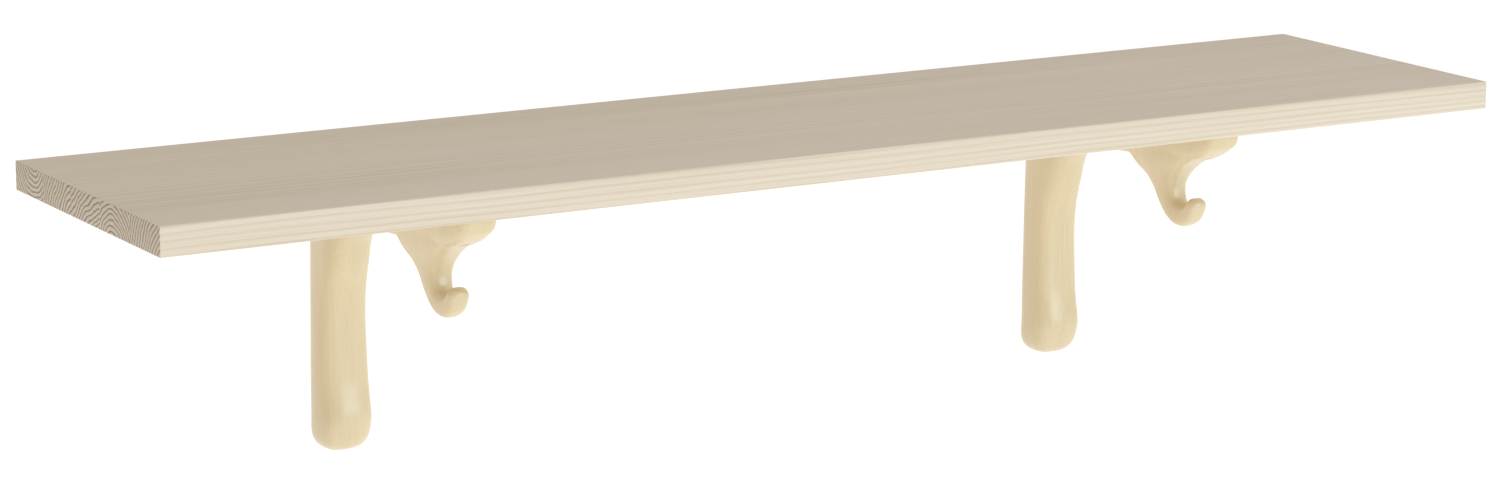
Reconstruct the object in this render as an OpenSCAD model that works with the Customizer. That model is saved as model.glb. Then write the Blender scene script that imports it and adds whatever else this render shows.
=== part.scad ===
// Wall shelf: an edge-glued pine board on two carved birch brackets, each with a coat hook.
// X runs along the shelf, +Y points into the wall and +Z is up. The origin lies on the wall
// plane, midway between the two keyholes that hang the shelf on its wall screws.

/* [Board] */
// Length of the board along the wall
board_length = 1190; // [900:5:1500]
// Depth of the board from the wall to its front edge
board_depth = 284; // [235:1:360]
// Thickness of the board
board_thickness = 23; // [18:0.5:32]
// Radius of the eased long edges
edge_ease = 1; // [0.5:0.1:2]

/* [Bracket] */
// Distance between the middles of the two brackets
bracket_spacing = 674; // [400:5:850]
// Distance from the nose of the bracket back to the front edge of the board
nose_setback = 14; // [8:0.5:24]
// Drop of the leg below the underside of the board
leg_drop = 233; // [190:1:300]
// Depth of the leg at its waist, from the wall to its front
waist_depth = 35; // [30:0.5:42]
// Width of the leg at its waist
waist_width = 41; // [34:0.5:50]
// Depth of the leg at its foot bulb
bulb_depth = 41; // [34:0.5:48]
// Width of the leg at its foot bulb
bulb_width = 45; // [37:0.5:54]
// Depth of the arm below the board, over the arch
arm_depth = 38; // [34:0.5:46]
// Width of the arm
arm_width = 37; // [31:0.5:44]
// Depth of the nose below the board
nose_depth = 24; // [20:0.5:29]

/* [Hook] */
// Width of the hook at its neck
hook_width = 21; // [17.5:0.5:25]
// Width of the rounded hook tip
tip_width = 17; // [14:0.5:20]
// Drop of the hook below the board
hook_drop = 85.5; // [75:0.5:102]

/* [Hanger plate] */
// Width of the keyhole plate
plate_width = 16; // [14:0.5:18]
// Height of the keyhole plate
plate_height = 56; // [50:1:70]
// Thickness of the keyhole plate
plate_thickness = 2; // [1.5:0.1:3]
// Diameter of the keyhole's entry, for the head of the wall screw
keyhole_d = 9; // [8:0.5:10]
// Width of the keyhole's slot, for the shank of the wall screw
slot_width = 4.5; // [4:0.1:5]
// Rise from the keyhole's entry to the top of its slot
slot_rise = 10; // [8:0.5:12]
// Drop of the keyhole's entry below the underside of the board
keyhole_drop = 60; // [50:1:80]

/* [Screws] */
// Diameter of the screws that hold the hanger plates
hanger_screw_d = 3; // [2.5:0.1:3.5]
// Length of the screws that hold the hanger plates
hanger_screw_length = 16; // [12:1:20]
// Diameter of the screws that hold the board
shelf_screw_d = 4.5; // [3.7:0.1:5.4]
// Bite of the shelf screws into the board
shelf_screw_bite = 16; // [12:0.5:17]
// Wood left between the arch screw's head and the board
arch_seat = 24; // [18:0.5:30]
// Wood left between the nose screw's head and the board
nose_seat = 8; // [6:0.5:10]
// Distance from the tip of the nose back to its screw
nose_screw_setback = 24; // [20:0.5:28]

/* [Hidden] */
$fn = 48;

stave_count = 5;                          // staves glued edge to edge
underside = keyhole_drop;                 // height of the board's underside
left = -bracket_spacing / 2;              // middle of each bracket along the shelf
right = bracket_spacing / 2;
stave_width = board_depth / stave_count;
reach = board_depth - nose_setback;       // how far the bracket stands out from the wall
pocket_clearance = 0.2;                   // round the hanger plate in its pocket
pilot_clearance = 0.1;                    // round a screw's shank in its hole
head_pocket_depth = 7;                    // room behind the plate for the wall screw's head
head_pocket_side = 1.5;                   // room beside that head
overcut = 1;                              // how far a cut runs past the face that it opens

hanger_head_d = 2 * hanger_screw_d;
plate_screw_edge = 6;                     // from the end of the plate to the middle of its screw
plate_screw_offset = plate_height / 2 - plate_screw_edge;      // from the plate's middle
keyhole_lift = 1;                         // the keyhole's middle stands this far above the plate's
plate_middle = slot_rise / 2 - keyhole_lift;   // height of the plate's middle above the entry
shelf_head_d = 2 * shelf_screw_d;
shelf_head_height = 3;
counterbore_d = shelf_head_d + 1;
screw_point = 0.8;                        // length of a screw's point, in diameters
point_flat = 0.5;                         // flat at the end of the point
recess_width = 1;                         // width of the cross in a pan head
recess_depth = 1.6;                       // depth of that cross
arch_screw_offset = 8;                    // the arch screw stands this far out past the arch's crown
stock_width = 100;                        // width of the stock that a bracket is cut from

ring_points = 24;     // points round each section of the carved bracket
steps = 3;            // sections from one chosen station to the next
wall_skin = 2;        // how far the sections run behind the wall plane before they are cut
board_skin = 6;       // how far they run above the board's underside before they are cut
squareness = 3;       // 2 is an ellipse, higher is squarer

// Stations of the bracket, from the foot of the leg round the arch to the nose. Each gives its
// inner point and its outer point as [distance out from the wall, drop below the board], and
// half of its width. The outer points lie beyond the wall and the board, which cut them flat.
arch_out = 95;                            // crown of the arch, where its curve starts
arch_rise = 47;                           // height of the curve between leg and arm
arch_run = 49;                            // reach of that curve
function arch(a) = [arch_out - arch_run * cos(a), arm_depth + arch_rise * (1 - sin(a))];

body_stations = [
    [[bulb_depth, leg_drop - 26], [-wall_skin, leg_drop - 26], bulb_width / 2],
    [[bulb_depth - 0.4, leg_drop - 34], [-wall_skin, leg_drop - 34], bulb_width / 2 - 0.2],
    [[bulb_depth - 2.2, leg_drop - 43], [-wall_skin, leg_drop - 43], bulb_width / 2 - 0.4],
    [[waist_depth + 2, leg_drop - 54], [-wall_skin, leg_drop - 54], waist_width / 2 + 1.2],
    [[waist_depth + 1, leg_drop - 68], [-wall_skin, leg_drop - 68], waist_width / 2 + 0.9],
    [[waist_depth, leg_drop - 106], [-wall_skin, leg_drop - 106], waist_width / 2 + 0.1],
    [[waist_depth + 3, leg_drop - 133], [-wall_skin, leg_drop - 131], waist_width / 2],
    [arch(10), [-wall_skin, 66], waist_width / 2],
    [arch(32), [-wall_skin, 38], waist_width / 2],
    [arch(55), [4, -board_skin], waist_width / 2 - 0.3],
    [arch(75), [45, -board_skin], waist_width / 2 - 0.5],
    [[arch_out, arm_depth], [80, -board_skin], arm_width / 2 + 1],
    [[arch_out + 25, arm_depth - 1], [118, -board_skin], arm_width / 2 + 0.5],
    [[reach - 94, 33], [reach - 96, -board_skin], arm_width / 2],
    [[reach - 40, nose_depth + 4], [reach - 42, -board_skin], arm_width / 2 - 0.5],
    [[reach - 20, nose_depth], [reach - 24, -board_skin], arm_width / 2 - 1],
    [[reach - 6, nose_depth - 8], [reach - 8, -board_skin], arm_width / 2 - 2],
];

// Stations of the hook, from its root inside the arm to the middle of its tip.
hook_stations = [
    [[reach - 138, 22], [reach - 10, 6], arm_width / 2 - 0.5],
    [[reach - 115, 40], [reach - 28, 24], arm_width / 2 - 1.9],
    [[reach - 99, 48], [reach - 43.5, 33], hook_width / 2 + 3.5],
    [[reach - 89, 58], [reach - 54.5, 42], hook_width / 2 + 0.9],
    [[reach - 82.5, 67], [reach - 61.5, 51], hook_width / 2],
    [[reach - 74, hook_drop - 8.5], [reach - 61, 60], hook_width / 2 - 0.9],
    [[reach - 63, hook_drop - 1.5], [reach - 59, 65], hook_width / 2 - 1.3],
    [[reach - 50, hook_drop], [reach - 51, 67], tip_width / 2 + 0.5],
    [[reach - 38, hook_drop - 6.5], [reach - 46, 66], tip_width / 2 + 0.3],
    [[reach - 32, hook_drop - 16.5], [reach - 43, 64], tip_width / 2],
];

// A smooth curve through a list of stations: the value at step t, from 0 to 1, after station i
function spline(a, b, c, d, t) =
    0.5 * (2 * b + (c - a) * t + (2 * a - 5 * b + 4 * c - d) * t * t
        + (3 * b - a - 3 * c + d) * t * t * t);
function station(list, i) = list[max(0, min(len(list) - 1, i))];
function smooth(list) = concat(
    [for (i = [0 : len(list) - 2], k = [0 : steps - 1])
        spline(station(list, i - 1), list[i], list[i + 1], station(list, i + 2), k / steps)],
    [list[len(list) - 1]]
);

// Sections that close an end with a round cap of the given length
function cap(s, length, direction) =
    let (centre = (s[0] + s[1]) / 2, half = (s[0] - s[1]) / 2)
    [for (a = [15, 30, 45, 60, 75, 86])
        let (c = centre + direction * length * power(sin(a), squareness), f = power(cos(a), squareness))
        [c + half * f, c - half * f, s[2] * f]];

function power(v, e) = sign(v) * pow(abs(v), 2 / e);
function ring(s) =
    let (centre = (s[0] + s[1]) / 2, half = (s[0] - s[1]) / 2)
    [for (k = [0 : ring_points - 1])
        let (a = 360 * k / ring_points,
             p = centre + half * power(cos(a), squareness))
        [s[2] * power(sin(a), squareness), -p[0], underside - p[1]]];

// A closed skin over a row of sections
module skin(sections) {
    rings = [for (s = sections) ring(s)];
    last = len(rings) - 1;
    n = ring_points;
    points = [for (r = rings) each r];
    sides = [for (i = [0 : last - 1], k = [0 : n - 1])
        each [[i * n + k, (i + 1) * n + (k + 1) % n, i * n + (k + 1) % n],
              [i * n + k, (i + 1) * n + k, (i + 1) * n + (k + 1) % n]]];
    first_cap = [[for (k = [0 : n - 1]) k]];
    last_cap = [[for (k = [n - 1 : -1 : 0]) last * n + k]];
    polyhedron(points, concat(sides, first_cap, last_cap), convexity = 6);
}

function reversed(list) = [for (i = [len(list) - 1 : -1 : 0]) list[i]];

module carved_body() {
    run = smooth(body_stations);
    foot = reversed(cap(run[0], 26, [-0.2, 1]));
    nose = cap(run[len(run) - 1], 9, [1, -0.5]);
    skin(concat(foot, run, nose));
}

module carved_hook() {
    run = smooth(hook_stations);
    end = run[len(run) - 1];
    tip = cap(end, 7, [0.45, -0.9]);
    skin(concat(run, tip));
}

module bracket_blank() {
    intersection() {
        union() {
            carved_body();
            carved_hook();
        }
        translate([-stock_width / 2, -board_depth, underside - leg_drop - overcut])
            cube([stock_width, board_depth, leg_drop + overcut]);
    }
}

// A flat shape with round ends, standing upright, extruded out from the wall plane
module upright_slot(width, low, high, depth) {
    rotate([90, 0, 0]) linear_extrude(depth) {
        translate([0, low + width / 2]) circle(d = width);
        translate([0, high - width / 2]) circle(d = width);
        translate([-width / 2, low + width / 2]) square([width, high - low - width]);
    }
}

module at_hanger_screws() {
    for (side = [-1, 1]) translate([0, 0, plate_middle + side * plate_screw_offset]) children();
}

// The countersunk screw of a hanger plate, its head flush with the plate's back
module hanger_screw(gap = 0) {
    d = hanger_screw_d + 2 * gap;
    point = screw_point * hanger_screw_d;
    rotate([90, 0, 0]) {
        cylinder(d1 = hanger_head_d + 2 * gap, d2 = d, h = (hanger_head_d - hanger_screw_d) / 2);
        cylinder(d = d, h = hanger_screw_length - point);
        translate([0, 0, hanger_screw_length - point]) cylinder(d1 = d, d2 = gap + point_flat, h = point);
    }
}

// A pan-head screw that stands with its head below and its point in the board
module shelf_screw(seat, gap = 0) {
    d = shelf_screw_d + 2 * gap;
    point = screw_point * shelf_screw_d;
    straight = seat + shelf_screw_bite - point;
    translate([0, 0, underside - seat]) {
        cylinder(d = d, h = straight);
        translate([0, 0, straight]) cylinder(d1 = d, d2 = gap + point_flat, h = point);
        if (gap == 0) translate([0, 0, -shelf_head_height]) pan_head();
    }
}

// Pan head with a rounded rim and a cross recess
module pan_head() {
    rim = shelf_head_height / 2;
    difference() {
        rotate_extrude() {
            square([shelf_head_d / 2 - rim, shelf_head_height]);
            intersection() {
                translate([shelf_head_d / 2 - rim, rim]) circle(rim);
                square([shelf_head_d, shelf_head_height]);
            }
            translate([0, rim]) square([shelf_head_d / 2, shelf_head_height - rim]);
        }
        for (turn = [0, 90]) rotate([0, 0, turn])
            translate([-shelf_screw_d / 2, -recess_width / 2, -overcut])
                cube([shelf_screw_d, recess_width, recess_depth + overcut]);
    }
}

module at_arch_screw() translate([0, -arch_out - arch_screw_offset, 0]) children();
module at_nose_screw() translate([0, -reach + nose_screw_setback, 0]) children();

// Clear hole for a shelf screw, with a counterbore for its head from below
module shelf_screw_hole(seat) {
    translate([0, 0, underside - seat]) cylinder(d = shelf_screw_d + 2 * pilot_clearance, h = seat + overcut);
    translate([0, 0, underside - seat - arm_depth]) cylinder(d = counterbore_d, h = arm_depth);
}

module bracket() {
    difference() {
        bracket_blank();
        translate([0, overcut, 0])
            upright_slot(plate_width + 2 * pocket_clearance,
                plate_middle - plate_height / 2 - pocket_clearance,
                plate_middle + plate_height / 2 + pocket_clearance,
                plate_thickness + overcut);
        upright_slot(keyhole_d + 2 * head_pocket_side,
            -keyhole_d / 2 - head_pocket_side,
            slot_rise + keyhole_d / 2 + head_pocket_side,
            plate_thickness + head_pocket_depth);
        at_hanger_screws() hanger_screw(pilot_clearance);
        at_arch_screw() shelf_screw_hole(arch_seat);
        at_nose_screw() shelf_screw_hole(nose_seat);
    }
}

module hanger_plate() {
    difference() {
        upright_slot(plate_width, plate_middle - plate_height / 2, plate_middle + plate_height / 2,
            plate_thickness);
        translate([0, overcut, 0]) rotate([90, 0, 0])
            cylinder(d = keyhole_d, h = plate_thickness + 2 * overcut);
        translate([0, overcut, 0])
            upright_slot(slot_width, -slot_width / 2, slot_rise + slot_width / 2,
                plate_thickness + 2 * overcut);
        at_hanger_screws() hanger_screw();
    }
}

module on_both_sides() {
    for (x = [left, right]) translate([x, 0, 0]) children();
}

// Section of a stave. The staves at the front and the back have their outer edges eased.
module stave_section(eased_front, eased_back) {
    difference() {
        square([stave_width, board_thickness]);
        if (eased_front) edge_cuts();
        if (eased_back) translate([stave_width, 0]) mirror([1, 0]) edge_cuts();
    }
}

module edge_cuts() {
    for (flip = [0, 1]) translate([0, flip * board_thickness]) mirror([0, flip]) difference() {
        translate([-overcut, -overcut]) square(edge_ease + overcut);
        translate([edge_ease, edge_ease]) circle(edge_ease);
    }
}

// Staves are counted from the wall to the front edge
module stave(number) {
    difference() {
        translate([-board_length / 2, -number * stave_width, underside])
            rotate([90, 0, 90]) linear_extrude(board_length)
                stave_section(number == stave_count, number == 1);
        on_both_sides() {
            at_arch_screw() shelf_screw(arch_seat, pilot_clearance);
            at_nose_screw() shelf_screw(nose_seat, pilot_clearance);
        }
    }
}

module shelf_stave_1() color("wheat") stave(1);
module shelf_stave_2() color("wheat") stave(2);
module shelf_stave_3() color("wheat") stave(3);
module shelf_stave_4() color("wheat") stave(4);
module shelf_stave_5() color("wheat") stave(5);
module left_bracket() color("burlywood") translate([left, 0, 0]) bracket();
module right_bracket() color("burlywood") translate([right, 0, 0]) bracket();
module left_hanger_plate() color("silver") translate([left, 0, 0]) hanger_plate();
module right_hanger_plate() color("silver") translate([right, 0, 0]) hanger_plate();
module left_hanger_screws() color("gray") translate([left, 0, 0]) at_hanger_screws() hanger_screw();
module right_hanger_screws() color("gray") translate([right, 0, 0]) at_hanger_screws() hanger_screw();
module left_arch_screw() color("gray") translate([left, 0, 0]) at_arch_screw() shelf_screw(arch_seat);
module right_arch_screw() color("gray") translate([right, 0, 0]) at_arch_screw() shelf_screw(arch_seat);
module left_nose_screw() color("gray") translate([left, 0, 0]) at_nose_screw() shelf_screw(nose_seat);
module right_nose_screw() color("gray") translate([right, 0, 0]) at_nose_screw() shelf_screw(nose_seat);

shelf_stave_1();
shelf_stave_2();
shelf_stave_3();
shelf_stave_4();
shelf_stave_5();
left_bracket();
right_bracket();
left_hanger_plate();
right_hanger_plate();
left_hanger_screws();
right_hanger_screws();
left_arch_screw();
right_arch_screw();
left_nose_screw();
right_nose_screw();
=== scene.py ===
# %% [markdown]
# # A wall shelf on two carved brackets
# This lesson dresses a wall shelf: a pine board of five glued staves on two birch brackets, each
# with a coat hook under its nose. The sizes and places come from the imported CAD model, which is
# loaded first and never moved. Every piece made here stands where its CAD node stands.

# %% Load the frame
import math

import bmesh
import bpy
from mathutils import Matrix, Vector


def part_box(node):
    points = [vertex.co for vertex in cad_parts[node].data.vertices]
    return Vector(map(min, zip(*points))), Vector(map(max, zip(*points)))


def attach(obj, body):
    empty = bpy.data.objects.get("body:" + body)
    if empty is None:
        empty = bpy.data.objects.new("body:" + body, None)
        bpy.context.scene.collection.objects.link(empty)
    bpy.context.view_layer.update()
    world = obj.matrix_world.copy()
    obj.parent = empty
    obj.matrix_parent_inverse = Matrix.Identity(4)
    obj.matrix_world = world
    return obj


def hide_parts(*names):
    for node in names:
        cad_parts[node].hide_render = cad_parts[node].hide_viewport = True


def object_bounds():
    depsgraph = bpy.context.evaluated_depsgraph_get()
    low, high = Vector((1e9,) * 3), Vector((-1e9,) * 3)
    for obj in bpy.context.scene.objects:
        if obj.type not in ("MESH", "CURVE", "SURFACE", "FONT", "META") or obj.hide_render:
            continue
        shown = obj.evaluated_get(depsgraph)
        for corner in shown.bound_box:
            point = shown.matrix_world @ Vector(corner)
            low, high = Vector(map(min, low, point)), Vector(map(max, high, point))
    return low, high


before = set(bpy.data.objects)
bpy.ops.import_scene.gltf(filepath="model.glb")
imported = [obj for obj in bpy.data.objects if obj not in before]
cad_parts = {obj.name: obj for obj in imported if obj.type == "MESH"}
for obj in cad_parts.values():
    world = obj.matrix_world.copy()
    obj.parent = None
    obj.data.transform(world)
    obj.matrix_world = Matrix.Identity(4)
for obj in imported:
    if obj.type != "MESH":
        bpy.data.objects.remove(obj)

MM = 0.001


def in_mm(box):
    """The two corners of a box in mm, rounded for printing."""
    return [[round(v / MM, 1) for v in corner] for corner in box]


cad_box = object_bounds()
print("CAD nodes:", len(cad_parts))
print("CAD box in mm:", in_mm(cad_box))

# %% [markdown]
# ## The few sizes that the rest is worked out from
# The board's height, its length and the places of the brackets are read from the boxes of their
# CAD nodes. A size typed twice drifts apart, and one that is read from the frame can't. Only the
# gap between the tip of the nose and the board's front edge is typed here.

# %% Read the driving sizes
SIDES = ("left", "right")
STAVES = 5
board_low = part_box(f"shelf_stave_{STAVES}")[0]
board_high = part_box("shelf_stave_1")[1]
NOSE_SETBACK = 14 * MM
bracket_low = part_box("left_bracket")[0]
underside = board_low.z
reach = -board_low.y - NOSE_SETBACK
leg_drop = underside - bracket_low.z
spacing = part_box("right_bracket")[0].x - bracket_low.x
print(f"board underside {underside / MM:.1f} mm, reach {reach / MM:.1f}, leg drop {leg_drop / MM:.1f}")
print(f"distance between the brackets {spacing / MM:.1f} mm")

# %% [markdown]
# ## The camera
# A long shelf is best seen from far away with a long lens, so that its near end doesn't swell. The
# camera stands to the left of the middle and a little above the board. It looks at a point close
# to the middle of the CAD box.

# %% Place the camera
CAMERA_TURN = math.radians(29.84)
CAMERA_DIP = math.radians(12.0)
CAMERA_DISTANCE = 3.569
CAMERA_LENS = 107.3
AIM_ASIDE = Vector((-0.033, 0, 0.032))

middle = (Vector(cad_box[0]) + Vector(cad_box[1])) / 2
looking = Vector((
    math.sin(CAMERA_TURN) * math.cos(CAMERA_DIP),
    math.cos(CAMERA_TURN) * math.cos(CAMERA_DIP),
    -math.sin(CAMERA_DIP),
))
bpy.ops.object.select_all(action="DESELECT")
bpy.ops.object.camera_add(
    location=middle + AIM_ASIDE - looking * CAMERA_DISTANCE,
    rotation=looking.to_track_quat("-Z", "Y").to_euler(),
)
camera = bpy.context.object
camera.data.lens = CAMERA_LENS
bpy.context.scene.camera = camera
print("camera at", [round(v, 3) for v in camera.location])

# %% [markdown]
# ## Floor and light
# The shelf hangs in a white studio. The floor lies well below it and is so pale that it reads as
# a plain white ground. A pale, slightly warm sky gives an even light from all round. A large,
# slightly blue soft box in front and to the right lights the faces towards the room. The board's
# left end and the left sides of the brackets stay a little darker, which shows their shape.

# %% Lay the floor
FLOOR_DROP = 2.0
FLOOR_SIZE = 300.0
FLOOR_COLOUR = (0.9, 0.9, 0.9, 1)
FLOOR_ROUGHNESS = 0.9
FLOOR_GLOW = 0.52

bpy.ops.mesh.primitive_plane_add(size=FLOOR_SIZE, location=(0, 0, -FLOOR_DROP))
floor = bpy.context.object
floor.name = "studio_floor"
floor_paint = bpy.data.materials.new("white_floor")
floor_paint.use_nodes = True
floor_sockets = floor_paint.node_tree.nodes["Principled BSDF"].inputs
floor_sockets["Base Color"].default_value = FLOOR_COLOUR
floor_sockets["Roughness"].default_value = FLOOR_ROUGHNESS
floor_sockets["Emission Color"].default_value = (1, 1, 1, 1)
floor_sockets["Emission Strength"].default_value = FLOOR_GLOW
floor.data.materials.append(floor_paint)
print("floor", FLOOR_SIZE, "m wide,", FLOOR_DROP, "m below the wall fixing")

# %% [markdown]
# ## Sky and soft box
# The sky lights the scene from all round, so no shadow is black. The soft box is a square area
# light, turned so that it shines at the middle of the shelf.

# %% Hang the lights
SKY_STRENGTH = 0.63
SKY_COLOUR = (1.0, 0.943, 0.882, 1)
KEY_PLACE = Vector((2.9, -7.6, 1.4))
KEY_SIZE = 3.6
KEY_POWER = 230
KEY_COLOUR = (0.64, 0.81, 1.0)

sky = bpy.data.worlds.new("white_sky")
sky.use_nodes = True
sky.node_tree.nodes["Background"].inputs["Color"].default_value = SKY_COLOUR
sky.node_tree.nodes["Background"].inputs["Strength"].default_value = SKY_STRENGTH
bpy.context.scene.world = sky
bpy.context.scene.view_settings.view_transform = "Standard"

bpy.ops.object.light_add(type="AREA", location=KEY_PLACE)
key_light = bpy.context.object
key_light.name = "key_light"
key_light.rotation_euler = (middle - KEY_PLACE).to_track_quat("-Z", "Y").to_euler()
key_light.data.size = KEY_SIZE
key_light.data.energy = KEY_POWER
key_light.data.color = KEY_COLOUR

# %% [markdown]
# ## Shader maths as plain expressions
# A wood pattern is arithmetic on the place of a point: the distance from the heart of the tree,
# cut into rings, shaken by noise. Wiring each sum by hand is slow to write and to read, so one
# small class wraps a socket. Adding or multiplying two wires then adds the Math node for it.


# %% A wire that understands arithmetic
class Wire:
    """An output socket of a material's node tree."""

    def __init__(self, tree, socket=None):
        self.tree = tree
        self.socket = socket

    def node(self, kind, settings=None, inputs=None, output=0):
        """Adds a node: first its settings, then the values or wires of its sockets."""
        made = self.tree.nodes.new(kind)
        for name, value in (settings or {}).items():
            setattr(made, name, value)
        for name, value in (inputs or {}).items():
            if isinstance(value, Wire):
                self.tree.links.new(value.socket, made.inputs[name])
            else:
                made.inputs[name].default_value = value
        return Wire(self.tree, made.outputs[output]) if made.outputs else None

    def maths(self, operation, *values):
        return self.node("ShaderNodeMath", {"operation": operation}, dict(enumerate(values)))

    def other(self, output):
        """Another output of the same node."""
        return Wire(self.tree, self.socket.node.outputs[output])

    def __add__(self, value):
        return self.maths("ADD", self, value)

    def __sub__(self, value):
        return self.maths("SUBTRACT", self, value)

    def __rsub__(self, value):
        return self.maths("SUBTRACT", value, self)

    def __mul__(self, value):
        return self.maths("MULTIPLY", self, value)

    def __truediv__(self, value):
        return self.maths("DIVIDE", self, value)

    def root(self):
        return self.maths("SQRT", self)

    def fraction(self):
        return self.maths("FRACT", self)

    def size(self):
        return self.maths("ABSOLUTE", self)

    __radd__ = __add__
    __rmul__ = __mul__


# %% [markdown]
# ## Tools that every pattern uses
# Every finish here is made in the same way: noise is read at the place of a point, drawn out along
# the grain, and mixes two or three colours. The same noise sets how rough and how raised the
# surface is. These few functions name the steps.


# %% Noise, mixes and the shader
def blank_material(name):
    """A new material with an empty node tree, and a wire to start from."""
    material = bpy.data.materials.new(name)
    material.use_nodes = True
    material.node_tree.nodes.clear()
    return material, Wire(material.node_tree)


def stretched(place, scale, shift=(0, 0, 0)):
    """The place, scaled along each axis, so that a noise read there is drawn out."""
    return place.node("ShaderNodeMapping", None, {"Vector": place, "Scale": scale, "Location": shift})


def noise(place, scale, detail=2.0, shift=(0, 0, 0)):
    """Soft noise from 0 to 1, with so many waves to the metre along X, Y and Z."""
    return place.node(
        "ShaderNodeTexNoise", None,
        {"Vector": stretched(place, scale, shift), "Scale": 1.0, "Detail": detail},
    )


def mixed(amount, first, second):
    """A colour between two colours."""
    return amount.node(
        "ShaderNodeMix", {"data_type": "RGBA"}, {0: amount, 6: first, 7: second}, output=2,
    )


def limited(value, low, high):
    """0 below low, 1 above high, and a smooth step between."""
    return value.node(
        "ShaderNodeMapRange", {"interpolation_type": "SMOOTHSTEP"},
        {"Value": value, "From Min": low, "From Max": high},
    )


def finish_material(start, colour, roughness, height, bump_depth, constants):
    """The Principled shader with a bump, joined to the material's output."""
    bump = height.node(
        "ShaderNodeBump", None, {"Height": height, "Distance": bump_depth, "Strength": 1.0},
    )
    inputs = {"Base Color": colour, "Roughness": roughness, "Normal": bump}
    inputs.update(constants)
    shader = start.node("ShaderNodeBsdfPrincipled", None, inputs)
    start.node("ShaderNodeOutputMaterial", None, {"Surface": shader})


def srgb(red, green, blue):
    """A colour as a paint chart gives it, from 0 to 255, in the linear light of the renderer."""
    def linear(v):
        v = v / 255
        return v / 12.92 if v <= 0.04045 else ((v + 0.055) / 1.055) ** 2.4
    return (linear(red), linear(green), linear(blue), 1)


# %% [markdown]
# ## Pine, cut from the tree
# A stave is sawn from a log, so its rings are one pattern in space: circles round the heart of the
# tree, which runs along the stave. Where the saw crosses them the end shows arcs, and the long
# faces show the same rings as lines. The pattern is therefore worked out from the distance to the
# heart, and each stave has a heart line of its own. The end of the stave scatters less light, so it
# is greyer and darker, with stronger rings. The long edges are painted a shade deeper than the flat
# sides: this is painted shade that holds back the soft box's strong light on the front.

# %% The pine material
RING_GAP = 4.0 * MM
HEART_WANDER = 5 * MM

EARLY_WOOD = srgb(232, 222, 206)
LATE_WOOD = srgb(211, 196, 170)
END_EARLY = srgb(206, 195, 178)
END_LATE = srgb(124, 108, 88)


def pine(name, heart_y, heart_z, seed):
    """Pine whose rings lie round the given heart line. The seed moves the noise."""
    material, start = blank_material(name)
    place = start.node("ShaderNodeTexCoord", output="Object")
    own = (seed * 3.7, seed * 1.3, seed * 2.1)
    x = place.node("ShaderNodeSeparateXYZ", None, {0: place})
    y, z = x.other("Y"), x.other("Z")
    sway = noise(place, (1.6, 6, 6), 2, own) - 0.5
    lift = noise(place, (2.2, 8, 8), 2, (own[1], own[2], own[0])) - 0.5
    across = y - heart_y + sway * (2 * HEART_WANDER)
    above = z - heart_z + lift * (2 * HEART_WANDER)
    radius = (across * across + above * above).root()
    years = noise(place, (0.5, 60, 60), 1, own) * 1.6
    ring = (radius / RING_GAP + years).fraction()
    late = limited(ring, 0.45, 0.9) - limited(ring, 0.92, 1.0)
    fibre = noise(place, (5, 700, 700), 3, own)
    tone = noise(place, (1.2, 14, 14), 2, own)
    normal = start.node("ShaderNodeNewGeometry", output="Normal")
    facing = normal.node("ShaderNodeSeparateXYZ", None, {0: normal})
    is_end = limited(facing.size(), 0.5, 0.9)
    # Painted shade: the long faces towards the room and the wall are painted deeper, to hold back the
    # soft box's light on the front.
    edge_painted_shade = limited(facing.other("Y").size(), 0.5, 0.9)
    grain = late * 0.34 + (fibre - 0.5) * 0.7 + (tone - 0.5) * 0.9
    face = mixed(grain + edge_painted_shade * 0.5 + 0.08, EARLY_WOOD, LATE_WOOD)
    end = mixed(late * 0.9 + (fibre - 0.5) * 0.9, END_EARLY, END_LATE)
    colour = mixed(is_end, face, end)
    rough = 0.56 + fibre * 0.12 + is_end * 0.1
    height = late * 0.6 + fibre * 0.6
    finish_material(start, colour, rough, height, 0.08 * MM, {"Specular IOR Level": 0.35})
    return material


# %% [markdown]
# ## Helpers for modelling in edit mode
# An operator acts on whatever is selected. The first helper makes one piece the only selected
# one. The second picks vertices, edges or faces by their place, as a person would click them.

# %% Pick a piece, and pick what to shape on it
X, Y, Z = range(3)
HAIR = 0.01 * MM      # what lies closer than this counts as touching


def pick(piece):
    bpy.ops.object.select_all(action="DESELECT")
    piece.select_set(True)
    bpy.context.view_layer.objects.active = piece


def choose(piece, kind, test):
    """In edit mode, selects the "verts", "edges" or "faces" for which the test is true."""
    bpy.ops.mesh.select_mode(type={"verts": "VERT", "edges": "EDGE", "faces": "FACE"}[kind])
    bpy.ops.mesh.select_all(action="DESELECT")
    mesh = bmesh.from_edit_mesh(piece.data)
    mesh.verts.index_update()
    for element in getattr(mesh, kind):
        if test(element):
            element.select_set(True)
    mesh.select_flush_mode()
    bmesh.update_edit_mesh(piece.data)


def lies_at(element, axis, value):
    """True for an edge or face whose corners all have this value along the axis."""
    return all(abs(v.co[axis] - value) < HAIR for v in element.verts)


# %% [markdown]
# ## Helpers for finishing a piece
# A piece gets its name with its turns and moves worked into its mesh, so that the patterns of all
# pieces are read in one frame. It then rides the root body, takes the place of its CAD node and
# gets a slot. A part of the brackets is made once in the middle, and set on both.

# %% Name, modify, cut and place
SMOOTH_ANGLE = math.radians(35)


def name_piece(piece, name):
    piece.name = name
    piece.data.name = name
    pick(piece)
    bpy.ops.object.transform_apply(location=True, rotation=True, scale=True)


def modify(piece, kind, **settings):
    """Adds a modifier, sets it and applies it."""
    pick(piece)
    modifier = piece.modifiers.new(kind.lower(), kind)
    for name, value in settings.items():
        setattr(modifier, name, value)
    bpy.ops.object.modifier_apply(modifier=modifier.name)


def cut(piece, cutter):
    """Takes the cutter's shape out of the piece and throws the cutter away."""
    modify(piece, "BOOLEAN", operation="DIFFERENCE", solver="EXACT", object=cutter)
    bpy.data.objects.remove(cutter)


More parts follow.
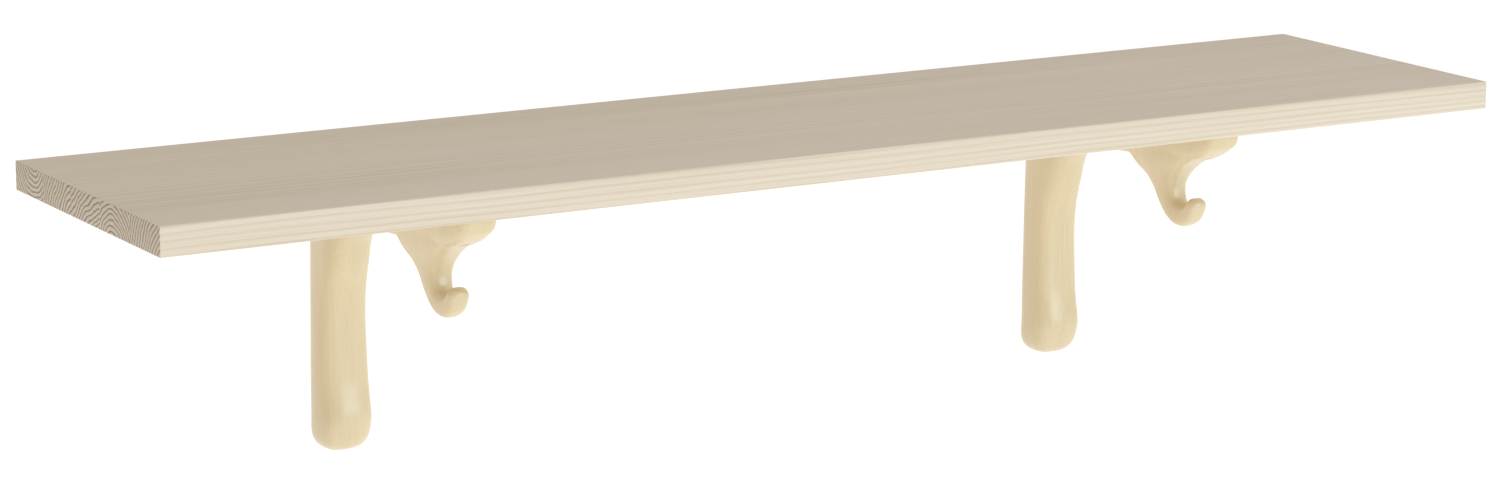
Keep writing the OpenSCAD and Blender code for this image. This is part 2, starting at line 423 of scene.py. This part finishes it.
def place_piece(piece, node, material):
    """Gives the piece its finish and lets it stand for its CAD node."""
    pick(piece)
    bpy.ops.object.shade_smooth_by_angle(angle=SMOOTH_ANGLE)
    piece.data.materials.clear()
    piece.data.materials.append(material)
    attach(piece, "root")
    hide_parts(node)


def copied(piece):
    """A copy of the piece with a mesh of its own."""
    second = piece.copy()
    second.data = piece.data.copy()
    bpy.context.scene.collection.objects.link(second)
    return second


def set_pair(piece, kind, part, materials):
    """Sets a piece made in the middle to the left and a copy to the right, each in its material."""
    pair = zip((piece, copied(piece)), SIDES, (-spacing / 2, spacing / 2), materials)
    for half, side, x, material in pair:
        half.location.x += x
        name_piece(half, f"{kind}_{side}_{part}")
        place_piece(half, f"{side}_{part}", material)


def triangles(piece):
    return sum(len(face.vertices) - 2 for face in piece.data.polygons)


# %% [markdown]
# ## Cutters for drilled holes
# A drill leaves a cylinder. The pointed tip of a screw hole is the same cylinder with its far
# face scaled down, and a countersink is one that is wide at its mouth.


# %% Drill-shaped cutters
def drill(place, direction, depth, diameter, end_diameter=None, sides=32):
    """A cutter that starts at the place and runs along the direction, straight or tapered."""
    turn = Vector(direction).to_track_quat("Z", "Y").to_euler()
    bpy.ops.object.select_all(action="DESELECT")
    bpy.ops.mesh.primitive_cone_add(
        vertices=sides, radius1=diameter / 2,
        radius2=(diameter if end_diameter is None else end_diameter) / 2, depth=depth,
        location=Vector(place) + Vector(direction) * depth / 2, rotation=turn,
    )
    return bpy.context.object


# %% [markdown]
# ## The five staves of the board
# Each stave is a block with its edges worked: a larger round where the hand meets the front and
# the back of the board, a smaller one round the ends, and a hair of a chamfer along the glue
# lines, where two staves never meet quite flush. The screw holes come up from below.

# %% Shape one stave
EDGE_ROUND = 1.0 * MM
END_ROUND = 0.6 * MM
GLUE_CHAMFER = 0.12 * MM
HOLE_PLAY = 0.2 * MM
SCREW_SHANK = 4.5 * MM
SCREW_HOLE = SCREW_SHANK + HOLE_PLAY
HOLE_END = 1 * MM
TIP_LENGTH = 3.6 * MM
SHELF_SCREWS = ("arch", "nose")
UP = (0, 0, 1)
DOWN = (0, 0, -1)
OUT = (0, -1, 0)


def stave(number):
    """A block the size of its CAD node, with its edges worked."""
    low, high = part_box(f"shelf_stave_{number}")
    bpy.ops.object.select_all(action="DESELECT")
    bpy.ops.mesh.primitive_cube_add(size=1, location=(low + high) / 2, scale=high - low)
    piece = bpy.context.object
    name_piece(piece, f"pine_stave_{number}")
    outer = [y for y in (board_low.y, board_high.y) if low.y - MM < y < high.y + MM]
    glued = [y for y in (low.y, high.y) if min(abs(y - o) for o in (board_low.y, board_high.y)) > MM]
    bpy.ops.object.mode_set(mode="EDIT")
    for y in outer:
        choose(piece, "edges", lambda e: lies_at(e, Y, y) and not lies_at(e, X, e.verts[0].co.x))
        bpy.ops.mesh.bevel(offset=EDGE_ROUND, segments=4, affect="EDGES")
    choose(piece, "edges", lambda e: (lies_at(e, X, low.x) or lies_at(e, X, high.x))
           and not any(lies_at(e, Y, y) for y in glued))
    bpy.ops.mesh.bevel(offset=END_ROUND, segments=3, affect="EDGES")
    for y in glued:
        choose(piece, "edges", lambda e: lies_at(e, Y, y))
        bpy.ops.mesh.bevel(offset=GLUE_CHAMFER, segments=1, affect="EDGES")
    bpy.ops.object.mode_set(mode="OBJECT")
    return piece


def drill_stave(piece, number):
    """Drills the stave for each screw that stands under it."""
    low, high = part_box(f"shelf_stave_{number}")
    for side in SIDES:
        for kind in SHELF_SCREWS:
            screw_low, screw_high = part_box(f"{side}_{kind}_screw")
            at = (screw_low + screw_high) / 2
            if low.y < at.y < high.y:
                shoulder = screw_high.z - TIP_LENGTH
                start = underside - MM
                cut(piece, drill((at.x, at.y, start), UP, shoulder - start, SCREW_HOLE))
                cut(piece, drill((at.x, at.y, shoulder - HAIR), UP, TIP_LENGTH, SCREW_HOLE, HOLE_END))


# %% [markdown]
# ## Five staves from five logs
# Each stave gets the line of its own log's heart, as two distances in mm. The first runs from the
# stave's back edge towards the room, and the second up from the board's underside. A heart above
# or below the stave bends its arcs that way.

# %% Make the board
HEARTS = [(38, 34), (82, -26), (86, -70), (24, -9), (78, -18)]

for number, (forwards, above) in enumerate(HEARTS, 1):
    piece = stave(number)
    drill_stave(piece, number)
    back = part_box(f"shelf_stave_{number}")[1].y
    wood = pine(f"pine_{number}", back - forwards * MM, underside + above * MM, number)
    place_piece(piece, f"shelf_stave_{number}", wood)
    print(piece.name, triangles(piece), "triangles")

# %% [markdown]
# ## Birch under a satin lacquer
# The brackets are carved from birch: pale, even and close grained. The grain runs down the leg.
# What shows is a faint banding of the years, fine upright fibres, and short darker pores. A
# clear lacquer lies over it, and the lights slide softly along the round edges.

# %% The birch material
BIRCH_PALE = srgb(221, 206, 169)
BIRCH_DEEP = srgb(202, 180, 137)
BIRCH_PORE = srgb(178, 142, 98)


def birch(name, shift):
    """Lacquered birch with upright grain. The shift moves the pattern."""
    material, start = blank_material(name)
    place = start.node("ShaderNodeTexCoord", output="Object")
    bands = noise(place, (60, 40, 3.0), 3, shift)
    fibre = noise(place, (620, 620, 9), 3, shift)
    flecks = limited(noise(place, (900, 900, 45), 1, shift), 0.66, 0.78)
    colour = mixed(bands * 0.7 + fibre * 0.5 - 0.1, BIRCH_PALE, BIRCH_DEEP)
    colour = mixed(flecks * 0.2, colour, BIRCH_PORE)
    rough = 0.36 + fibre * 0.10
    height = fibre * 0.4 + bands * 0.3 - flecks * 0.4
    constants = {"Coat Weight": 0.6, "Coat Roughness": 0.27, "Specular IOR Level": 0.4}
    finish_material(start, colour, rough, height, 0.05 * MM, constants)
    return material


# %% [markdown]
# ## The sections of the bracket
# A carver works a bracket from a sawn blank to a row of sections: the foot bulb, the waist, the
# arch and the nose. Each station gives the inner and the outer point of a section, as the way
# out from the wall and the drop below the board, and half of its width. A curve is drawn through
# the stations, and a ring is set at each step along it. The outer points lie a little behind the
# wall plane and above the board's underside, where planes later cut the bracket flat.

# %% The stations of the leg and arm, and of the hook
ARCH_OUT = 95         # from the wall to the crown of the arch
ARM_DEPTH = 38        # from the board down to that crown
ARCH_RISE = 47        # height of the arch
ARCH_RUN = 49         # length of the arch, from the leg to its crown
BACK = -2             # behind the wall plane
TOP = -6              # above the board's underside
reach_mm = reach / MM
leg_mm = leg_drop / MM


def arch(degrees):
    """The place on the arch at this angle, from 0 at the leg to 90 at the crown."""
    angle = math.radians(degrees)
    return ARCH_OUT - ARCH_RUN * math.cos(angle), ARM_DEPTH + ARCH_RISE * (1 - math.sin(angle))


BODY = [Vector(v) for v in (
    (41, leg_mm - 26, BACK, leg_mm - 26, 22.4),
    (40.6, leg_mm - 34, BACK, leg_mm - 34, 22.2),
    (38.8, leg_mm - 43, BACK, leg_mm - 43, 22),
    (37, leg_mm - 54, BACK, leg_mm - 54, 21.7),
    (36, leg_mm - 68, BACK, leg_mm - 68, 21.4),
    (35, leg_mm - 106, BACK, leg_mm - 106, 20.6),
    (38, leg_mm - 133, BACK, leg_mm - 131, 20.5),
    (*arch(10), BACK, 66, 20.5),
    (*arch(32), BACK, 38, 20.5),
    (*arch(55), 4, TOP, 20.2),
    (*arch(75), 45, TOP, 20),
    (ARCH_OUT, ARM_DEPTH, 80, TOP, 19.5),
    (ARCH_OUT + 25, ARM_DEPTH - 1, 118, TOP, 19),
    (reach_mm - 94, 33, reach_mm - 96, TOP, 18.5),
    (reach_mm - 40, 28, reach_mm - 42, TOP, 18),
    (reach_mm - 20, 24, reach_mm - 24, TOP, 17.5),
    (reach_mm - 6, 16, reach_mm - 8, TOP, 16.5),
)]
HOOK = [Vector(v) for v in (
    (reach_mm - 138, 22, reach_mm - 10, 6, 18),
    (reach_mm - 115, 40, reach_mm - 28, 24, 16.6),
    (reach_mm - 99, 48, reach_mm - 43.5, 33, 14),
    (reach_mm - 89, 58, reach_mm - 54.5, 42, 11.4),
    (reach_mm - 82.5, 67, reach_mm - 61.5, 51, 10.4),
    (reach_mm - 74, 77, reach_mm - 61, 60, 9.6),
    (reach_mm - 63, 84, reach_mm - 59, 65, 9.2),
    (reach_mm - 50, 85.5, reach_mm - 51, 67, 9),
    (reach_mm - 38, 79, reach_mm - 46, 66, 8.8),
    (reach_mm - 32, 69, reach_mm - 43, 64, 8.6),
)]
print(len(BODY), "stations in leg and arm,", len(HOOK), "in the hook")

# %% [markdown]
# ## From stations to sections
# A curve through the stations gives the sections between them. Each open end is closed by a dome:
# its sections shrink as the points of a quarter of a squarish circle do, and lean the way the end
# points. A dome is given by its length in mm and by its way out from the wall and down.

# %% Smooth the runs and close their ends
STEPS = 3             # sections from one station to the next
SQUARENESS = 3        # 2 makes a dome's outline a circle, and more makes it squarer
DOME_ANGLES = (15, 30, 45, 60, 75, 86)
FOOT_DOME = (26, (-0.2, 1))
NOSE_DOME = (9, (1, -0.5))
TIP_DOME = (7, (0.45, -0.9))


def smooth_run(stations):
    """The stations with steps between them, on a smooth curve that goes through each one."""
    run = []
    for i in range(len(stations) - 1):
        a, b, c, d = (stations[max(0, min(len(stations) - 1, i + k))] for k in (-1, 0, 1, 2))
        for step in range(STEPS):
            t = step / STEPS
            run.append(0.5 * (2 * b + (c - a) * t + (2 * a - 5 * b + 4 * c - d) * t * t
                              + (3 * b - a - 3 * c + d) * t * t * t))
    return run + [stations[-1]]


def round_end(station, length, direction):
    """Shrinking sections that close an end with a dome of this length."""
    sections = []
    for degrees in DOME_ANGLES:
        rise = math.sin(math.radians(degrees)) ** (2 / SQUARENESS)
        left_over = math.cos(math.radians(degrees)) ** (2 / SQUARENESS)
        inner, outer = Vector(station[0:2]), Vector(station[2:4])
        centre = (inner + outer) / 2 + Vector(direction) * length * rise
        half = (inner - outer) / 2 * left_over
        sections.append(Vector((*(centre + half), *(centre - half), station[4] * left_over)))
    return sections


foot = round_end(BODY[0], *FOOT_DOME)
body_run = foot[::-1] + smooth_run(BODY) + round_end(BODY[-1], *NOSE_DOME)
hook_run = smooth_run(HOOK) + round_end(HOOK[-1], *TIP_DOME)
print(len(body_run), "sections in leg and arm,", len(hook_run), "in the hook")

# %% [markdown]
# ## From rings to a solid
# Each ring starts as a circle of eight points. Its four corner points are pushed out a little,
# because the section is squarer than an ellipse, and subdivision later rounds the ring. Eight
# points are few enough to shape by hand, and neighbouring rings bridge without a twist.

# %% Bridge a row of rings
RING_POINTS = 8
SUBDIVISIONS = 3
# Subdivision pulls a ring of eight points inwards. These two sizes make up for it, and give the
# finished section the squareness of a planed and rounded bar.
RING_SIZE = 1.034
CORNER_PUSH = 1.275


def ring_points(number, count=1):
    """Picks the points of one ring, or of a few rings in a row, by their order in the mesh."""
    first = number * RING_POINTS
    return range(first, first + count * RING_POINTS)


def bridge_rings(stations):
    """Sets a ring at each station and closes a skin over them."""
    bpy.ops.object.select_all(action="DESELECT")
    piece = None
    for number, station in enumerate(stations):
        inner = Vector((0, -station[0] * MM, underside - station[1] * MM))
        outer = Vector((0, -station[2] * MM, underside - station[3] * MM))
        centre, half = (inner + outer) / 2, (inner - outer) / 2
        bpy.ops.mesh.primitive_circle_add(
            vertices=RING_POINTS, radius=half.length * RING_SIZE, location=centre,
            rotation=(math.atan2(half.z, half.y), 0, 0),
        )
        if piece is None:
            piece = bpy.context.object
            bpy.ops.object.transform_apply(location=True, rotation=True, scale=True)
            bpy.ops.object.mode_set(mode="EDIT")
            bpy.ops.mesh.select_all(action="SELECT")
        bpy.ops.transform.resize(value=(station[4] * MM / half.length, 1, 1), center_override=centre)
        choose(piece, "verts", lambda v: v.index in ring_points(number) and v.index % 2 == 1)
        bpy.ops.transform.resize(value=(CORNER_PUSH,) * 3, center_override=centre)
    for number in range(len(stations) - 1):
        pair = ring_points(number, 2)
        choose(piece, "edges", lambda e: e.verts[0].index in pair and e.verts[1].index in pair
               and e.verts[0].index // RING_POINTS == e.verts[1].index // RING_POINTS)
        bpy.ops.mesh.bridge_edge_loops()
    for end in (0, len(stations) - 1):
        choose(piece, "verts", lambda v: v.index in ring_points(end))
        bpy.ops.mesh.edge_face_add()
    bpy.ops.mesh.select_all(action="SELECT")
    bpy.ops.mesh.normals_make_consistent(inside=False)
    bpy.ops.object.mode_set(mode="OBJECT")
    modify(piece, "SUBSURF", levels=SUBDIVISIONS, render_levels=SUBDIVISIONS)
    return piece


body = bridge_rings(body_run)
hook = bridge_rings(hook_run)
print("leg and arm", triangles(body), "triangles, hook", triangles(hook))

# %% [markdown]
# ## Growing the hook out of the arm
# On the real bracket the hook isn't stuck on: the carver's spindle leaves a soft fillet round its
# root. Here the two solids are joined, melted into one skin by a voxel remesh, and smoothed, which
# fills the sharp corner between them. Planes then cut the back flat for the wall, and the top
# flat for the board.

# %% Melt, smooth and cut flat
VOXEL = 1.2 * MM
SMOOTHING = 0.5
SMOOTHING_PASSES = 12
ON_PLANE = 0.001 * MM      # points closer to a cutting plane than this count as on it

pick(body)
hook.select_set(True)
bpy.ops.object.join()
bracket = bpy.context.object
modify(bracket, "REMESH", mode="VOXEL", voxel_size=VOXEL)
modify(bracket, "SMOOTH", factor=SMOOTHING, iterations=SMOOTHING_PASSES)
bpy.ops.object.mode_set(mode="EDIT")
for place, normal in (((0, 0, 0), (0, 1, 0)), ((0, 0, underside), UP)):
    bpy.ops.mesh.select_all(action="SELECT")
    bpy.ops.mesh.bisect(
        plane_co=place, plane_no=normal, use_fill=True, clear_outer=True, threshold=ON_PLANE,
    )
bpy.ops.object.mode_set(mode="OBJECT")
print("carved bracket", triangles(bracket), "triangles")

# %% [markdown]
# ## Pockets and holes
# A router sinks a pocket for the hanger plate into the back of the leg, and a deeper one behind
# the keyhole, where the head of the wall screw goes. Two small holes take the plate's screws. Two
# holes run up through the arm, each with a counterbore that hides a screw's head.

# %% Cut the pockets and holes
PLATE_PLAY = 0.2 * MM
HEAD_POCKET = 12 * MM
HEAD_POCKET_DEPTH = 9 * MM
KEYHOLE_RISE = 10 * MM
COUNTERBORE = 10 * MM
PAN_HEIGHT = 3 * MM
HANGER_SHANK = 3.0 * MM
ROUND_SIDES = 48

plate_low, plate_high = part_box("left_hanger_plate")
plate_width = plate_high.x - plate_low.x
plate_thickness = -plate_low.y


def upright_slot(low, high, width, depth, start=0.0, sides=ROUND_SIDES):
    """An upright block with round ends. It starts behind the wall plane and ends this deep."""
    bpy.ops.object.select_all(action="DESELECT")
    bpy.ops.mesh.primitive_cylinder_add(
        vertices=sides, radius=width / 2, depth=depth + start,
        location=(0, (start - depth) / 2, low + width / 2), rotation=(math.pi / 2, 0, 0),
    )
    piece = bpy.context.object
    bpy.ops.object.transform_apply(location=True, rotation=True, scale=True)
    bpy.ops.object.mode_set(mode="EDIT")
    choose(piece, "verts", lambda v: v.co.z > low + width / 2 + HAIR)
    bpy.ops.transform.translate(value=(0, 0, high - low - width))
    bpy.ops.object.mode_set(mode="OBJECT")
    return piece


cut(bracket, upright_slot(plate_low.z - PLATE_PLAY, plate_high.z + PLATE_PLAY,
                          plate_width + 2 * PLATE_PLAY, plate_thickness, MM))
cut(bracket, upright_slot(-HEAD_POCKET / 2, KEYHOLE_RISE + HEAD_POCKET / 2,
                          HEAD_POCKET, HEAD_POCKET_DEPTH, MM))
plate_screws_low, plate_screws_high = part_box("left_hanger_screws")
screw_rows = (plate_screws_low.z + HANGER_SHANK, plate_screws_high.z - HANGER_SHANK)
for z in screw_rows:
    cut(bracket, drill((0, MM, z), OUT, MM - plate_screws_low.y, HANGER_SHANK + HOLE_PLAY))
for kind in SHELF_SCREWS:
    screw_low, screw_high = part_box(f"left_{kind}_screw")
    y = (screw_low.y + screw_high.y) / 2
    seat = screw_low.z + PAN_HEIGHT
    cut(bracket, drill((0, y, seat - MM), UP, underside - seat + 2 * MM, SCREW_HOLE))
    cut(bracket, drill((0, y, seat), DOWN, ARM_DEPTH * MM, COUNTERBORE, sides=ROUND_SIDES))
print("drilled bracket", triangles(bracket), "triangles")

# %% [markdown]
# ## The second bracket
# Both brackets come off the same template, so the left one is copied. Each has its own piece of
# the birch pattern, since no two boards have the same grain.

# %% Set both brackets under the board
GRAIN_SHIFTS = {"left": (0, 0, 0), "right": (0.31, 0.7, 0.2)}

birches = [birch(f"birch_{side}", GRAIN_SHIFTS[side]) for side in SIDES]
set_pair(bracket, "carved", "bracket", birches)
print(bracket.name, "and its copy stand", round(spacing / MM, 1), "mm apart")

# %% [markdown]
# ## Bright zinc on steel
# The fixings are steel with a thin bright zinc plating. The plate is stamped from rolled strip, so
# fine lines run along it. The plating is a little blue in places and a little yellow in others,
# and small dull spots show where it has been handled.

# %% The zinc-plated steel
ZINC_BLUE = srgb(196, 202, 208)
ZINC_WARM = srgb(206, 202, 190)
ZINC_DULL = srgb(142, 143, 142)


def zinc(name, lines, seed):
    """Plated steel, with so many rolled or drawn lines to the metre along X, Y and Z."""
    material, start = blank_material(name)
    place = start.node("ShaderNodeTexCoord", output="Object")
    drawn = noise(place, lines, 3, (seed, seed, seed))
    cloud = limited(noise(place, (90, 90, 90), 3, (seed, 0, 0)), 0.3, 0.7)
    spots = limited(noise(place, (420, 420, 420), 2, (0, seed, 0)), 0.62, 0.74)
    colour = mixed(cloud, ZINC_BLUE, ZINC_WARM)
    colour = mixed(spots * 0.5 + drawn * 0.15, colour, ZINC_DULL)
    rough = 0.24 + drawn * 0.16 + spots * 0.2
    finish_material(start, colour, rough, drawn + spots * 0.3, 0.03 * MM, {"Metallic": 1.0})
    return material


# %% [markdown]
# ## The hanger plates
# A hanger plate is stamped from 2 mm strip. The punch leaves its rims a little round. The head of a
# wall screw goes in at the round hole, and the shelf then drops until the shank is at the top of
# the slot. Two countersunk holes take the screws that hold the plate in its pocket.

# %% Make the hanger plates
KEYHOLE = 9 * MM
KEYHOLE_SLOT = 4.5 * MM
PLATE_RIM = 0.25 * MM
PLATE_SIDES = 64
RIM_ANGLE = math.radians(60)
HANGER_HEAD = 6 * MM
COUNTERSINK = (HANGER_HEAD - HANGER_SHANK) / 2
STRIP_LINES = (700, 700, 12)

through = plate_thickness + 2 * MM
plate = upright_slot(plate_low.z, plate_high.z, plate_width, plate_thickness, sides=PLATE_SIDES)
cut(plate, drill((0, MM, 0), OUT, through, KEYHOLE, sides=PLATE_SIDES))
cut(plate, upright_slot(-KEYHOLE_SLOT / 2, KEYHOLE_RISE + KEYHOLE_SLOT / 2, KEYHOLE_SLOT,
                        plate_thickness + MM, MM))
for z in screw_rows:
    cut(plate, drill((0, MM, z), OUT, through, HANGER_SHANK, sides=ROUND_SIDES))
    cut(plate, drill((0, HAIR, z), OUT, COUNTERSINK, HANGER_HEAD, HANGER_SHANK, ROUND_SIDES))
bpy.ops.object.mode_set(mode="EDIT")
choose(plate, "edges", lambda e: (lies_at(e, Y, 0) or lies_at(e, Y, plate_low.y))
       and e.calc_face_angle(0) > RIM_ANGLE)
bpy.ops.mesh.bevel(offset=PLATE_RIM, segments=2, affect="EDGES", clamp_overlap=True)
bpy.ops.object.mode_set(mode="OBJECT")
print("hanger plate", triangles(plate), "triangles")
strip_zinc = zinc("zinc_strip", STRIP_LINES, seed=1.0)
set_pair(plate, "steel", "hanger_plate", (strip_zinc, strip_zinc))

# %% [markdown]
# ## Screws
# A wood screw is rolled from wire: first a head is struck, with its cross, and then the thread is
# rolled. Here a screw is grown from its head by extruding one ring after another. The thread is a
# small diamond section that winds along the core, with its two ends drawn in.

# %% Grow a screw
TURNED_SIDES = 40
THREAD_STEPS = 24         # steps in one turn of a thread
THREAD_END = 0.2          # the share of its section that a thread ends in
ARM_SHARE = 0.25          # width of an arm of the cross, as a share of the whole cross
RECESS_TAPER = 0.5        # the share of its width that the cross has at its floor


def turned(rings):
    """A round part along Z, grown from its first face to each (radius, height) in mm."""
    bpy.ops.object.select_all(action="DESELECT")
    bpy.ops.mesh.primitive_circle_add(
        vertices=TURNED_SIDES, radius=rings[0][0] * MM, fill_type="NGON",
    )
    piece = bpy.context.object
    bpy.ops.object.mode_set(mode="EDIT")
    bpy.ops.mesh.select_mode(type="FACE")
    bpy.ops.mesh.select_all(action="SELECT")
    for (before, low), (after, high) in zip(rings, rings[1:]):
        bpy.ops.mesh.extrude_region_move(TRANSFORM_OT_translate={"value": (0, 0, (high - low) * MM)})
        growth = after / before
        bpy.ops.transform.resize(value=(growth, growth, 1), center_override=(0, 0, high * MM))
    bpy.ops.mesh.select_all(action="SELECT")
    bpy.ops.mesh.normals_make_consistent(inside=False)
    bpy.ops.object.mode_set(mode="OBJECT")
    return piece


def add_thread(piece, core, ridge, low, pitch, turns):
    """Winds a ridge round the core of a screw, and joins it to the screw."""
    bpy.ops.object.select_all(action="DESELECT")
    bpy.ops.mesh.primitive_circle_add(
        vertices=4, radius=ridge * MM, location=(core * MM, 0, low * MM), rotation=(math.pi / 2, 0, 0),
    )
    winding = bpy.context.object
    bpy.ops.object.transform_apply(location=True, rotation=True, scale=True)
    modify(winding, "SCREW", axis="Z", screw_offset=pitch * MM, iterations=turns,
           steps=THREAD_STEPS, render_steps=THREAD_STEPS)
    bpy.ops.object.mode_set(mode="EDIT")
    for end in (low, low + pitch * turns):
        choose(winding, "verts", lambda v: v.is_boundary and abs(v.co.z - end * MM) < pitch * MM)
        bpy.ops.transform.resize(value=(THREAD_END,) * 3, center_override=(core * MM, 0, end * MM))
    bpy.ops.mesh.select_all(action="SELECT")
    bpy.ops.mesh.fill_holes(sides=4)
    bpy.ops.mesh.normals_make_consistent(inside=False)
    bpy.ops.object.mode_set(mode="OBJECT")
    pick(piece)
    winding.select_set(True)
    bpy.ops.object.join()


def cross_recess(piece, width, depth):
    """Sinks a tapered cross into the head, whose top lies at height 0."""
    for turn in (0, 90):
        bpy.ops.object.select_all(action="DESELECT")
        bpy.ops.mesh.primitive_cube_add(
            size=1, scale=(width * MM, ARM_SHARE * width * MM, 2 * depth * MM),
        )
        cutter = bpy.context.object
        cutter.rotation_euler.z = math.radians(turn)
        bpy.ops.object.transform_apply(location=True, rotation=True, scale=True)
        bpy.ops.object.mode_set(mode="EDIT")
        choose(cutter, "faces", lambda f: lies_at(f, Z, depth * MM))
        bpy.ops.transform.resize(
            value=(RECESS_TAPER, RECESS_TAPER, 1), center_override=(0, 0, depth * MM),
        )
        bpy.ops.object.mode_set(mode="OBJECT")
        cut(piece, cutter)


# %% [markdown]
# ## The screws of the hanger plates
# Two countersunk screws hold each plate. They are one node in the CAD model, so here they are joined
# into one piece. A screw's outline is a row of radii and heights in mm, from the face of its head to
# its point: the cone of the head, the plain shank, the thinner core and the taper.

# %% Make the screws of the hanger plates
HANGER_CORE = 1.1
HANGER_OUTLINE = [
    (2.9, 0), (3, 0.12), (1.5, 1.5), (1.5, 4),
    (HANGER_CORE, 4.4), (HANGER_CORE, 13.6), (0.2, 16),
]
WIRE_LINES = (500, 500, 500)

wire_zinc = zinc("zinc_wire", WIRE_LINES, seed=4.0)
low_screw = turned(HANGER_OUTLINE)
cross_recess(low_screw, width=3.4, depth=1.3)
add_thread(low_screw, HANGER_CORE, ridge=0.4, low=4.8, pitch=1.2, turns=7)
low_screw.rotation_euler.x = math.pi / 2
high_screw = copied(low_screw)
for piece, row, z in zip((low_screw, high_screw), ("low", "high"), screw_rows):
    piece.location.z = z
    name_piece(piece, f"{row}_hanger_screw")
pick(low_screw)
high_screw.select_set(True)
bpy.ops.object.join()
print("hanger screws", triangles(low_screw), "triangles")
set_pair(low_screw, "steel", "hanger_screws", (wire_zinc, wire_zinc))

# %% [markdown]
# ## The screws that hold the board
# Each bracket has a long screw by its arch and a short one in its nose. Both have the same pan head,
# thread and point, and only the plain shank differs in length. Its length comes from the CAD node.

# %% Make the screws that hold the board
PAN_OUTLINE = [(3, 0), (3.75, 0.2), (4.28, 0.7), (4.5, 1.5), (4.5, PAN_HEIGHT / MM)]
SHANK_RADIUS = SCREW_SHANK / 2 / MM
SHELF_CORE = 1.65
THREAD_PITCH = 2
THREAD_TURNS = 6

for kind in SHELF_SCREWS:
    screw_low, screw_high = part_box(f"left_{kind}_screw")
    tip = (screw_high.z - screw_low.z) / MM
    shoulder = tip - TIP_LENGTH / MM
    neck = shoulder - THREAD_PITCH * THREAD_TURNS
    screw = turned(PAN_OUTLINE + [
        (SHANK_RADIUS, PAN_HEIGHT / MM), (SHANK_RADIUS, neck - 1),
        (SHELF_CORE, neck - 0.4), (SHELF_CORE, shoulder), (0.3, tip),
    ])
    cross_recess(screw, width=4.8, depth=1.7)
    add_thread(screw, SHELF_CORE, ridge=0.6, low=neck, pitch=THREAD_PITCH, turns=THREAD_TURNS)
    screw.location = (0, (screw_low.y + screw_high.y) / 2, screw_low.z)
    print(kind, "screw", triangles(screw), "triangles")
    set_pair(screw, "steel", f"{kind}_screw", (wire_zinc, wire_zinc))
